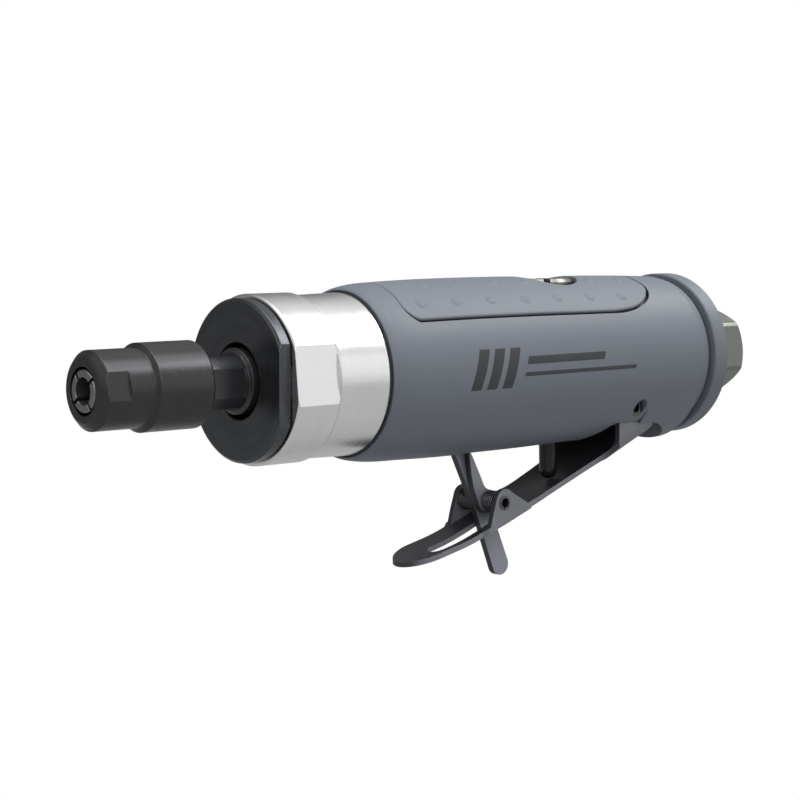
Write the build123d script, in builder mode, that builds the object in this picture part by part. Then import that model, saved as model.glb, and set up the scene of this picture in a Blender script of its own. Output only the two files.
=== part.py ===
from build123d import *
import os
from math import cos, radians, sin
from types import SimpleNamespace

# Straight pneumatic die grinder.
# Frame: millimetres. X runs along the spindle, from the collet face (X = 0) back
# to the air inlet. +Z is up through the regulator; the throttle lever hangs at -Z.
# The origin is the centre of the collet mouth. "Front" is towards X = 0.

os.makedirs("parts", exist_ok=True)

# ---------------------------------------------------------------- dimensions
GAP = 0.05               # clearance between neighbouring pieces
PIN_FIT = 0.02           # radial clearance of pins and bearings in their holes

# collet and nut
SHANK_R = 3.2            # collet bore for a 1/4 in shank
COLLET_FACE_R = 4.9
COLLET_LEN = 24.0
NUT_NOSE_R = 9.15
NUT_BODY_R = 10.25
NUT_LEN = 29.0
NUT_FLAT = 8.55          # half of the wrench size on the nut nose
NECK_R = 7.0
NECK_FLAT = 6.1
SHOULDER_R = 7.9

# front cap and nose
CAP_FACE_X = 41.6
CAP_REAR_X = 44.7
CAP_FACE_R = 18.8
CAP_R = 19.5
CAP_FLAT = 17.0
NOSE_X0, NOSE_X1 = 45.0, 72.3
NOSE_R = 20.45
NOSE_FLAT = 19.2
SLEEVE_X1 = 103.9
SLEEVE_R = 18.85

# motor
MOTOR_R = 17.0           # outside of end plates and cylinder
MOTOR_BORE = MOTOR_R + GAP
PLATE_F_X0, PLATE_F_X1 = 51.2, 62.0
LINER_X0, LINER_X1 = PLATE_F_X1 + GAP, 92.0
PLATE_R_X0, PLATE_R_X1 = LINER_X1 + GAP, 104.0
LINER_BORE = 14.6
ECCENTRICITY = 1.4
ROTOR_R = 13.0
ROTOR_X0, ROTOR_X1 = 62.3, 91.8
VANES = 5
VANE_THICK = 1.5
FRONT_JOURNAL = 5.995
REAR_JOURNAL = 3.995
DOWEL_Z = 15.3
DOWEL_R = 1.0

# ball bearings: radii of the two races, the ball circle and the balls
BEARING_BALLS = 7
FRONT_BEARING = SimpleNamespace(
    x=55.25, width=7.9, outer_r=14.0, outer_land_r=11.6, inner_land_r=8.4,
    inner_r=FRONT_JOURNAL + 0.01, pitch_r=10.0, ball_r=2.35, cage_width=6.0, cage_thick=1.4)
REAR_BEARING = SimpleNamespace(
    x=100.0, width=7.0, outer_r=11.0, outer_land_r=8.8, inner_land_r=6.2,
    inner_r=REAR_JOURNAL + 0.01, pitch_r=7.5, ball_r=1.85, cage_width=5.0, cage_thick=1.2)

# grip
GRIP_X0, GRIP_X1 = 72.8, 183.5
SKIRT_X1 = 185.8         # rear skirt of the grip, over the collar of the deflector
SKIRT_BORE = 19.95
GRIP_BORE = SLEEVE_R + GAP
GRIP_BORE_X1 = 105.0
# outside of the grip: (x, radius)
GRIP_OUTLINE = [
    (74.2, 21.4), (76.8, 21.88), (80.0, 22.2), (86.0, 22.4), (98.0, 22.7), (113.0, 22.8),
    (128.0, 22.75), (140.0, 22.55), (158.0, 22.4), (170.0, 22.2), (178.0, 21.98), (182.9, 21.8)]

# soft pad in the top of the grip
PAD_X0, PAD_X1 = 80.0, 171.0
PAD_HALF_ANGLE = 55.5
PAD_GAP_ANGLE = 0.25
PAD_GAP_X = 0.15
PAD_PLAN_Z = 5           # the plan outlines cut upwards from here
# plan corners on the +Y side, (x, y): rear end to side, then side to front end
PAD_REAR = [(171.0, 9.4), (170.6, 11.5), (169.6, 13.35), (167.2, 15.3),
            (163.4, 16.85), (159.2, 17.8), (153.0, 18.4), (146.0, 19.0)]
PAD_FRONT = [(86.0, 19.0), (83.7, 18.4), (82.05, 17.6), (80.95, 16.4), (80.5, 14.6)]
PAD_FRONT_MID_X = 81.25  # the front end bows back to here at Y = 0
RECESS_REAR = [(171.2, 9.5), (170.8, 11.6), (169.8, 13.5), (167.4, 15.5),
               (163.6, 17.05), (159.4, 18.0), (153.0, 18.6), (146.0, 19.2)]
RECESS_FRONT = [(86.0, 19.2), (83.6, 18.6), (81.9, 17.75), (80.75, 16.5), (80.3, 14.6)]
RECESS_FRONT_MID_X = 81.05

# regulator
REG_X = 141.5
REG_HOLE_R = 10.0
REG_DISC_R = 8.7
REG_DISC_Z = 19.4
REG_TOP_Z = 21.95
REG_STEM_R = 5.5
REG_STEM_Z = 8.6
REG_SKIRT_Z = 1.2
REG_GROOVE_Z = 12.2
REG_GROOVE_H = 1.4

# throttle valve
VALVE_X = 144.1
PLUNGER_R = 2.4
PLUNGER_TIP_Z = -31.95
PLUNGER_GROOVE_Z = -13.6
PLUNGER_GROOVE_H = 1.2
BALL_R = 2.2
BALL_Z = -0.22
SPRING_Z = 2.32
SPRING_PITCH = 1.19
SPRING_TURNS = 5
SPRING_R = 1.9
SPRING_WIRE_R = 0.25
SPRING_SLOPE = 0.0997    # pitch over circumference

# lever
PIVOT_X, PIVOT_Z = 161.0, -13.0
LEVER_PIN_R = 2.3
SHEET = 1.3
TROUGH_R = 22.0
TROUGH_HALF_ANGLE = 41.0
HEEL_HALF = 14.0
HEEL_DEPTH = 8.0         # height of the half ellipse that closes the heel
HEEL_WALL = 1.5
HEEL_SIDE_Y = 6.5        # where the ellipse meets the straight sides, in the heel sketch
HEEL_FRONT_X = 157.4
TONGUE_X, TONGUE_HALF = 99.9, 7.5
LEVER_HALF = 8.4
EAR_THICK = 1.5
# inner surface of the lever from the tongue tip up to the rear heel: (x, z)
LEVER_LINE = [
    (87.0, -48.5), (91.0, -48.6), (96.0, -48.2), (101.0, -47.2), (108.0, -45.6), (115.7, -43.1),
    (125.0, -39.55), (134.5, -36.05), (144.3, -32.35), (152.5, -29.2), (159.0, -26.75)]
# +Y edge of the lever from the straight middle to the flared heel: (x, y)
LEVER_FLARE = [(131.0, LEVER_HALF), (134.5, 8.0), (140.0, 7.9), (146.0, 8.2), (151.0, 8.7),
               (154.3, 10.0), (HEEL_FRONT_X, HEEL_HALF)]

# lever slot and lock channel in the underside of the grip
SLOT_HALF = 14.6
SLOT_CEILING = -9.4
SLOT_X0, SLOT_X1 = 155.8, 167.9  # straight sides of the slot
CHANNEL_HALF = 6.0
CHANNEL_CEILING = -15.7
# +Y side where the channel widens into the slot: (x, y)
SLOT_FLARE = [(149.0, CHANNEL_HALF), (151.2, 8.6), (153.6, 12.9), (SLOT_X0, SLOT_HALF)]

# lock
LOCK_X, LOCK_Z = 119.9, -35.65
LOCK_PIN_R = 1.75
LATCH_Y, LATCH_THICK = 1.8, 1.9  # +Y face of the latch plate
HORN_Y, HORN_THICK = -0.5, 1.65  # +Y face of the horn
HUB_R = 3.0
COIL_R = 2.58
COIL_WIRE_R = 0.32
COIL_PITCH = 0.72
COILS = [(2.25, 4.25), (-6.5, 3.85)]  # (start y, height)

# rear end
SEAL_X, SEAL_THICK = GRIP_X1 + GAP, 0.5
DEFLECTOR_X0, DEFLECTOR_X1 = SEAL_X + SEAL_THICK, 192.4
DEFLECTOR_WALL_X = 190.9
DEFLECTOR_BORE = 11.05
FELT_OUTER_WALL, FELT_INNER_WALL = 18.9, 12.4
FLANGE_R = 22.45
HEX_X0, HEX_X1 = DEFLECTOR_X1 + GAP, 212.4
HEX_HALF = 11.1
INLET_R = 5.65           # tap-drill radius of the 1/4 in pipe thread


# ---------------------------------------------------------------- helpers
def along_x(x, y, z):
    """Place with its local Z along the spindle."""
    return Location((x, y, z), (0, 90, 0))


def along_y(x, y, z):
    """Place with its local Z across the tool."""
    return Location((x, y, z), (90, 0, 0))


def about_x(x, angle):
    """Place on the spindle axis, turned about it."""
    return Location((x, 0, 0), (angle, 0, 0))


def spoke(x, angle, radius):
    """Place at a radius from the spindle axis, turned about it from +Z."""
    return about_x(x, angle) * Location((0, 0, radius))


def mirrored(points):
    """The points reflected to the -Y side, in reverse order."""
    return [(x, -y) for x, y in reversed(points)]


def cut_flats(x, width, half_size, tilt):
    """Cut two opposed wrench flats, facing +Y and -Y before the tilt about X."""
    depth = 10
    with Locations(about_x(x, tilt)):
        with Locations((0, half_size + depth / 2, 0), (0, -half_size - depth / 2, 0)):
            Box(width, depth, 40, mode=Mode.SUBTRACT)


def cut_dowel_holes(length, *centres_x):
    with Locations(*[along_x(x, 0, DOWEL_Z) for x in centres_x]):
        Cylinder(DOWEL_R + PIN_FIT, length, mode=Mode.SUBTRACT)


def draw_pad_plan(rear, front, front_mid_x):
    """Closed plan of the soft pad, drawn into the open BuildLine."""
    far_rear, far_front = mirrored(rear), mirrored(front)
    Spline(*rear)
    Line(rear[-1], front[0])
    Spline(*front, tangents=((-1, 0), (0, -1)))
    ThreePointArc(front[-1], (front_mid_x, 0), far_front[0])
    Spline(*far_front, tangents=((0, -1), (1, 0)))
    Line(far_front[-1], far_rear[0])
    Spline(*far_rear)
    Line(far_rear[-1], rear[0])


def make_ring(x, outer_r, inner_r, length):
    """Plain ring on the spindle axis, from x backwards."""
    with BuildPart() as ring:
        with BuildSketch(Plane.YZ.offset(x)):
            Circle(outer_r)
            Circle(inner_r, mode=Mode.SUBTRACT)
        extrude(amount=length)
    return ring.part


def make_race(bearing, inner_r, outer_r):
    """Bearing race with its ball groove."""
    with BuildPart() as race:
        with BuildSketch(Plane.XZ):
            with Locations((bearing.x, (inner_r + outer_r) / 2)):
                Rectangle(bearing.width, outer_r - inner_r)
            with Locations((bearing.x, bearing.pitch_r)):
                Circle(bearing.ball_r + 0.07, mode=Mode.SUBTRACT)
        revolve(axis=Axis.X)
    return race.part


def make_outer_race(bearing):
    return make_race(bearing, bearing.outer_land_r, bearing.outer_r)


def make_inner_race(bearing):
    return make_race(bearing, bearing.inner_r, bearing.inner_land_r)


def make_balls(bearing):
    """Cage ring with a ball in each pocket."""
    places = [spoke(bearing.x, k * 360 / BEARING_BALLS, bearing.pitch_r)
              for k in range(BEARING_BALLS)]
    with BuildPart() as balls:
        with BuildSketch(Plane.YZ.offset(bearing.x - bearing.cage_width / 2)):
            Circle(bearing.pitch_r + bearing.cage_thick / 2)
            Circle(bearing.pitch_r - bearing.cage_thick / 2, mode=Mode.SUBTRACT)
        extrude(amount=bearing.cage_width)
        for place in places:
            with Locations(place):
                Sphere(bearing.ball_r + 0.05, mode=Mode.SUBTRACT)
        for place in places:
            with Locations(place):
                Sphere(bearing.ball_r)
    return balls.part


def make_slit_pin(x, z, radius, bore_r, length, slit_angle, slit_offset, slit_width, slit_depth):
    """Hollow cross pin with a slit along one side of its wall."""
    through = 40.0
    with BuildPart() as pin:
        with Locations(along_y(x, 0, z)):
            Cylinder(radius, length)
            Cylinder(bore_r, through, mode=Mode.SUBTRACT)
        with Locations(Location((x, 0, z), (0, slit_angle, 0))):
            with Locations((0, 0, slit_offset)):
                Box(slit_width, through, slit_depth, mode=Mode.SUBTRACT)
    return pin.part


# ---------------------------------------------------------------- collet and spindle
# Turned profiles are lists of (x, radius).
def make_collet_nut():
    profile = [
        (0, 5.6), (0, 7.2), (0.5, 8.0), (1.6, NUT_NOSE_R), (13.3, NUT_NOSE_R),
        (14.2, NUT_BODY_R), (28.3, NUT_BODY_R), (NUT_LEN, 9.6), (NUT_LEN, 8.4),
        (28.6, 8.05), (8.6, 8.05), (8.6, 6.6), (3.6, 6.6), (2.6, 5.6)]
    with BuildPart() as nut:
        with BuildSketch(Plane.XZ):
            with BuildLine():
                Polyline(*profile, close=True)
            make_face()
        revolve(axis=Axis.X)
        cut_flats(x=4.1, width=5.8, half_size=NUT_FLAT, tilt=-8)
    return nut.part


def make_collet():
    profile = [
        (0, SHANK_R), (0, 4.65), (0.25, COLLET_FACE_R), (2.6, COLLET_FACE_R), (2.9, 5.6),
        (3.6, 6.3), (8.0, 6.3), (COLLET_LEN, 4.45), (COLLET_LEN, SHANK_R)]
    with BuildPart() as collet:
        with BuildSketch(Plane.XZ):
            with BuildLine():
                Polyline(*profile, close=True)
            make_face()
        revolve(axis=Axis.X)
        # four slots part the jaws and leave a ring at the rear
        with Locations(about_x(7.5, 54), about_x(7.5, 144)):
            Box(19, 0.9, 16, mode=Mode.SUBTRACT)
    return collet.part


def make_rotor_spindle():
    profile = [
        (9.0, 6.25), (9.0, 7.5), (9.5, 7.95), (26.4, 7.95), (26.9, NECK_R), (40.4, NECK_R),
        (40.9, SHOULDER_R), (51.25, SHOULDER_R), (51.25, FRONT_JOURNAL),
        (ROTOR_X0, FRONT_JOURNAL), (ROTOR_X0, ROTOR_R), (ROTOR_X1, ROTOR_R),
        (ROTOR_X1, REAR_JOURNAL), (103.3, REAR_JOURNAL), (103.6, 3.6), (103.6, 0),
        (40.0, 0), (40.0, 3.8), (24.3, 3.8), (24.3, 4.48)]
    with BuildPart() as spindle:
        with BuildSketch(Plane.XZ):
            with BuildLine():
                Polyline(*profile, close=True)
            make_face()
        revolve(axis=Axis.X)
        # four wrench flats on the neck
        for tilt in (0, 90):
            cut_flats(x=33.4, width=12.6, half_size=NECK_FLAT, tilt=tilt)
        # radial vane slots
        for k in range(VANES):
            with Locations(spoke(77.0, k * 360 / VANES, 9.9)):
                Box(31.0, VANE_THICK + 0.1, 7.8, mode=Mode.SUBTRACT)
    return spindle.part


def make_rotor_vanes():
    with BuildPart() as vanes:
        for k in range(VANES):
            with Locations(spoke((ROTOR_X0 + ROTOR_X1) / 2, k * 360 / VANES, 9.55)):
                Box(29.0, VANE_THICK, 6.5)
    return vanes.part


# ---------------------------------------------------------------- front cap and nose housing
def make_front_cap():
    profile = [
        (CAP_FACE_X, 9.4), (CAP_FACE_X, CAP_FACE_R), (42.15, CAP_R), (CAP_REAR_X - 0.15, CAP_R),
        (CAP_REAR_X, CAP_R - 0.15), (CAP_REAR_X, 16.95), (51.1, 16.95), (51.1, 13.7),
        (50.7, 13.7), (50.7, 9.0), (42.0, 9.0)]
    with BuildPart() as cap:
        with BuildSketch(Plane.XZ):
            with BuildLine():
                Polyline(*profile, close=True)
            make_face()
        revolve(axis=Axis.X)
        cut_flats(x=43.1, width=3.6, half_size=CAP_FLAT, tilt=1.8)
    return cap.part


def make_nose_housing():
    profile = [
        (NOSE_X0, MOTOR_BORE), (NOSE_X0, 20.05), (NOSE_X0 + 0.4, NOSE_R), (56.8, NOSE_R),
        (57.7, 19.7), (NOSE_X1 - 0.3, 20.1), (NOSE_X1, 19.8), (NOSE_X1, SLEEVE_R),
        (SLEEVE_X1, SLEEVE_R), (SLEEVE_X1, MOTOR_BORE)]
    with BuildPart() as nose:
        with BuildSketch(Plane.XZ):
            with BuildLine():
                Polyline(*profile, close=True)
            make_face()
        revolve(axis=Axis.X)
        cut_flats(x=51.1, width=12.4, half_size=NOSE_FLAT, tilt=-4.7)
    return nose.part


# ---------------------------------------------------------------- motor
def make_front_end_plate():
    seat_x, seat_r = 59.3, FRONT_BEARING.outer_r + PIN_FIT
    profile = [
        (PLATE_F_X0, seat_r), (PLATE_F_X0, MOTOR_R), (PLATE_F_X1, MOTOR_R),
        (PLATE_F_X1, 6.4), (seat_x, 6.4), (seat_x, seat_r)]
    with BuildPart() as plate:
        with BuildSketch(Plane.XZ):
            with BuildLine():
                Polyline(*profile, close=True)
            make_face()
        revolve(axis=Axis.X)
        cut_dowel_holes(5.0, 59.5)
    return plate.part


def make_cylinder_liner():
    with BuildPart() as liner:
        with BuildSketch(Plane.YZ.offset(LINER_X0)):
            Circle(MOTOR_R)
            with Locations((0, -ECCENTRICITY)):
                Circle(LINER_BORE, mode=Mode.SUBTRACT)
        extrude(amount=LINER_X1 - LINER_X0)
        # exhaust ports through the -Y side of the wall
        with Locations(*[along_y(x, -14.0, -ECCENTRICITY) for x in range(67, 88, 5)]):
            Cylinder(1.5, 9.0, mode=Mode.SUBTRACT)
        cut_dowel_holes(4.4, 64.0, 90.0)
    return liner.part


def make_rear_end_plate():
    seat_x, seat_r = 96.4, REAR_BEARING.outer_r + PIN_FIT
    port_offset = 8.9
    profile = [
        (PLATE_R_X0, 4.6), (PLATE_R_X0, MOTOR_R), (PLATE_R_X1, MOTOR_R),
        (PLATE_R_X1, seat_r), (seat_x, seat_r), (seat_x, 4.6)]
    with BuildPart() as plate:
        with BuildSketch(Plane.XZ):
            with BuildLine():
                Polyline(*profile, close=True)
            make_face()
        revolve(axis=Axis.X)
        cut_dowel_holes(4.0, 93.8)
        # two air ports into the cylinder
        with Locations(*[along_x(98.0, side * port_offset, -port_offset) for side in (1, -1)]):
            Cylinder(1.2, 14.0, mode=Mode.SUBTRACT)
    return plate.part


def make_dowel_pins():
    with BuildPart() as pins:
        with Locations(along_x(61.7, 0, DOWEL_Z), along_x(91.8, 0, DOWEL_Z)):
            Cylinder(DOWEL_R, 7.2)
    return pins.part


# ---------------------------------------------------------------- grip
def make_grip_housing():
    end_profile = [
        GRIP_OUTLINE[-1], (SKIRT_X1 - 0.3, 21.25), (SKIRT_X1, 20.95), (SKIRT_X1, SKIRT_BORE),
        (GRIP_X1, SKIRT_BORE), (GRIP_X1, 0), (GRIP_X0, 0), (GRIP_X0, 20.75), (73.2, 21.05),
        GRIP_OUTLINE[0]]
    # passages along X: (x, y, z, radius, length)
    passages = [
        [(122.5, 0, -6.2, 2.6, 40.0)],                              # valve to motor
        [(144.5, 14.5, 5.0, 2.2, 81.0), (144.5, -14.5, 5.0, 2.2, 81.0)],  # exhaust to the rear
        [(155.0, 0, 2.6, 3.6, 24.0)],                               # inlet
        [(175.0, 0, 0, 7.6, 18.0)]]                                 # inlet bushing socket
    # upright bores: (x, start z, radius, height; negative goes down)
    bores = [
        (REG_X, -1.5, REG_STEM_R + GAP, 26.0),       # regulator stem
        (REG_X, 19.3, REG_HOLE_R, 8.0),              # regulator disc
        (VALVE_X, -1.4, 3.05, -16.0),                # valve
        (VALVE_X, -9.5, 4.25, -14.0)]                # valve bushing
    # side view of the lock channel: (x, z)
    channel_bottom = -24.5
    channel = [
        (108.4, channel_bottom), (109.0, -22.6), (110.4, -20.2), (113.0, -17.9),
        (116.4, -16.3), (119.5, CHANNEL_CEILING), (150.0, CHANNEL_CEILING),
        (150.0, channel_bottom)]
    # section of the pad recess: (x, radius)
    recess_x0, recess_x1 = PAD_X0 - PAD_GAP_X, PAD_X1 + PAD_GAP_X
    recess = [(recess_x0, 20.45), (recess_x0, 26), (recess_x1, 26), (recess_x1, 20.5),
              (128.0, 21.05), (98.0, 21.0)]
    recess_half_angle = PAD_HALF_ANGLE + PAD_GAP_ANGLE

    with BuildPart() as grip:
        with BuildSketch(Plane.XZ):
            with BuildLine():
                Spline(*GRIP_OUTLINE)
                Polyline(*end_profile)
            make_face()
        revolve(axis=Axis.X)
        # thicker lower boss around the rear of the lever slot
        with Locations(along_x(173.9, 0, -3.1)):
            Cylinder(20.6, 18.4)
        # motor bore
        with BuildSketch(Plane.YZ.offset(GRIP_X0 - 1)):
            Circle(GRIP_BORE)
        extrude(amount=GRIP_BORE_X1 - GRIP_X0 + 1, mode=Mode.SUBTRACT)
        # clearance round the rear edge of the nose
        with BuildSketch(Plane.YZ.offset(GRIP_X0 - 1)):
            Circle(20.5)
        extrude(amount=2.0, mode=Mode.SUBTRACT)
        for group in passages:
            for x, y, z, radius, length in group:
                with Locations(along_x(x, y, z)):
                    Cylinder(radius, length, mode=Mode.SUBTRACT)
        for x, z, radius, height in bores:
            with BuildSketch(Plane.XY.offset(z)):
                with Locations((x, 0)):
                    Circle(radius)
            extrude(amount=height, mode=Mode.SUBTRACT)
        # wide lever slot, open below
        with BuildSketch(Plane.XY.offset(SLOT_CEILING)):
            with BuildLine():
                Spline(*SLOT_FLARE, tangents=((1, 0.25), (1, 0)))
                Line((SLOT_X0, SLOT_HALF), (SLOT_X1, SLOT_HALF))
                ThreePointArc((SLOT_X1, SLOT_HALF), (182.5, 0), (SLOT_X1, -SLOT_HALF))
                Line((SLOT_X1, -SLOT_HALF), (SLOT_X0, -SLOT_HALF))
                Spline(*mirrored(SLOT_FLARE), tangents=((-1, 0), (-1, 0.25)))
                Line(mirrored(SLOT_FLARE)[-1], SLOT_FLARE[0])
            make_face()
        extrude(amount=-30.0, mode=Mode.SUBTRACT)
        # narrow channel that clears the plunger and the top of the swinging lock
        with BuildSketch(Plane.XZ):
            with BuildLine():
                Polyline(*channel, close=True)
            make_face()
        extrude(amount=CHANNEL_HALF, both=True, mode=Mode.SUBTRACT)
        # pivot pin hole
        with Locations(along_y(PIVOT_X, 0, PIVOT_Z)):
            Cylinder(LEVER_PIN_R + PIN_FIT, 60.0, mode=Mode.SUBTRACT)
        # recess for the soft top pad: a sector of the shell, trimmed to the pad's plan
        with BuildSketch(Plane.XZ.rotated((-recess_half_angle, 0, 0)),
                         mode=Mode.PRIVATE) as recess_face:
            with BuildLine():
                Polyline(*recess, close=True)
            make_face()
        with BuildSketch(Plane.XY.offset(PAD_PLAN_Z), mode=Mode.PRIVATE) as recess_plan:
            with BuildLine():
                draw_pad_plan(RECESS_REAR, RECESS_FRONT, RECESS_FRONT_MID_X)
            make_face()
        sector = revolve(recess_face.sketch, axis=Axis.X,
                         revolution_arc=2 * recess_half_angle, mode=Mode.PRIVATE)
        plan_block = extrude(recess_plan.sketch, amount=25, mode=Mode.PRIVATE)
        add(sector & plan_block, mode=Mode.SUBTRACT)
    return grip.part


def make_grip_pad():
    # outer and inner surfaces of the pad: (x, radius)
    outer = [(PAD_X0, 22.15), (86.0, 22.38), (98.0, 22.68), (113.0, 22.78), (128.0, 22.73),
             (140.0, 22.53), (158.0, 22.38), (PAD_X1, 22.15)]
    inner = [(PAD_X1, 20.7), (128.0, 21.2), (98.0, 21.15), (PAD_X0, 20.65)]
    with BuildPart() as pad:
        with BuildSketch(Plane.XZ.rotated((-PAD_HALF_ANGLE, 0, 0)), mode=Mode.PRIVATE) as pad_face:
            with BuildLine():
                Spline(*outer)
                Polyline(outer[-1], *inner, outer[0])
            make_face()
        revolve(pad_face.sketch, axis=Axis.X, revolution_arc=2 * PAD_HALF_ANGLE)
        with BuildSketch(Plane.XY.offset(PAD_PLAN_Z)):
            with BuildLine():
                draw_pad_plan(PAD_REAR, PAD_FRONT, PAD_FRONT_MID_X)
            make_face()
        extrude(amount=25, mode=Mode.INTERSECT)
        # round window over the regulator
        with BuildSketch(Plane.XY.offset(10)):
            with Locations((REG_X, 0)):
                Circle(REG_HOLE_R)
        extrude(amount=20, mode=Mode.SUBTRACT)
    return pad.part


# ---------------------------------------------------------------- regulator
def make_regulator_dial():
    with BuildPart() as dial:
        with BuildSketch(Plane.XY.offset(REG_DISC_Z)):
            with Locations((REG_X, 0)):
                Circle(REG_DISC_R)
        extrude(amount=REG_TOP_Z - REG_DISC_Z)
        chamfer(dial.edges().group_by(Axis.Z)[-1], length=0.9)
        with BuildSketch(Plane.XY.offset(REG_STEM_Z)):
            with Locations((REG_X, 0)):
                Circle(REG_STEM_R)
        extrude(amount=REG_DISC_Z - REG_STEM_Z)
        # seal groove
        with BuildSketch(Plane.XY.offset(REG_GROOVE_Z)):
            with Locations((REG_X, 0)):
                Circle(REG_STEM_R + 0.4)
                Circle(REG_STEM_R - 1.15, mode=Mode.SUBTRACT)
        extrude(amount=REG_GROOVE_H, mode=Mode.SUBTRACT)
        # half skirt that throttles the inlet port as the dial turns
        with BuildSketch(Plane.XY.offset(REG_SKIRT_Z)):
            with Locations((REG_X, 0)):
                Circle(REG_STEM_R)
                Circle(REG_STEM_R - 0.6, mode=Mode.SUBTRACT)
            with Locations((REG_X + 5.7, 0)):
                Rectangle(11.8, 13, mode=Mode.SUBTRACT)
        extrude(amount=REG_STEM_Z - REG_SKIRT_Z)
        # screwdriver slot
        with Locations(Location((REG_X, 0, REG_TOP_Z - 0.6), (0, 0, 60))):
            Box(18.0, 1.8, 1.8, mode=Mode.SUBTRACT)
    return dial.part


def make_regulator_seal():
    cord_r = 0.55
    with BuildPart() as seal:
        with Locations((REG_X, 0, REG_GROOVE_Z + REG_GROOVE_H / 2)):
            Torus(REG_STEM_R - cord_r, cord_r)
    return seal.part


# ---------------------------------------------------------------- throttle valve
def make_throttle_plunger():
    stem_r, collar_r = 1.2, 2.9
    top_z, collar_top_z, collar_z = -2.5, -8.6, -9.4
    tip = (VALVE_X, PLUNGER_TIP_Z)
    tip_edge = (VALVE_X + PLUNGER_R, PLUNGER_TIP_Z + PLUNGER_R)
    tip_middle = (VALVE_X + PLUNGER_R * sin(radians(45)),
                  PLUNGER_TIP_Z + PLUNGER_R * (1 - cos(radians(45))))
    with BuildPart() as plunger:
        with BuildSketch(Plane.XZ):
            with BuildLine():
                Polyline(tip, (VALVE_X, top_z), (VALVE_X + stem_r, top_z),
                         (VALVE_X + stem_r, collar_top_z), (VALVE_X + collar_r, collar_top_z),
                         (VALVE_X + collar_r, collar_z), (VALVE_X + PLUNGER_R, collar_z),
                         tip_edge)
                ThreePointArc(tip_edge, tip_middle, tip)
            make_face()
        revolve(axis=Axis((VALVE_X, 0, 0), (0, 0, 1)))
    return plunger.part


def make_valve_bushing():
    with BuildPart() as bushing:
        with BuildSketch(Plane.XY.offset(-16.5)):
            with Locations((VALVE_X, 0)):
                Circle(4.2)
                Circle(PLUNGER_R + GAP, mode=Mode.SUBTRACT)
        extrude(amount=6.95)
        # seal groove
        with BuildSketch(Plane.XY.offset(PLUNGER_GROOVE_Z)):
            with Locations((VALVE_X, 0)):
                Circle(3.45)
                Circle(PLUNGER_R, mode=Mode.SUBTRACT)
        extrude(amount=PLUNGER_GROOVE_H, mode=Mode.SUBTRACT)
    return bushing.part


def make_plunger_seal():
    with BuildPart() as seal:
        with Locations((VALVE_X, 0, PLUNGER_GROOVE_Z + PLUNGER_GROOVE_H / 2)):
            Torus(2.93, 0.48)
    return seal.part


def make_valve_seat():
    with BuildPart() as seat:
        with BuildSketch(Plane.XY.offset(-3.4)):
            with Locations((VALVE_X, 0)):
                Circle(3.0)
                Circle(1.6, mode=Mode.SUBTRACT)
        extrude(amount=1.65)
    return seat.part


def make_valve_ball():
    with BuildPart() as ball:
        with Locations((VALVE_X, 0, BALL_Z)):
            Sphere(BALL_R)
    return ball.part


def make_valve_spring():
    with BuildPart() as spring:
        with BuildLine():
            Helix(pitch=SPRING_PITCH, height=SPRING_TURNS * SPRING_PITCH, radius=SPRING_R,
                  center=(VALVE_X, 0, SPRING_Z))
        with BuildSketch(Plane(origin=(VALVE_X + SPRING_R, 0, SPRING_Z), x_dir=(1, 0, 0),
                               z_dir=(0, 1, SPRING_SLOPE))):
            Circle(SPRING_WIRE_R)
        sweep(is_frenet=True)
    return spring.part


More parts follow.
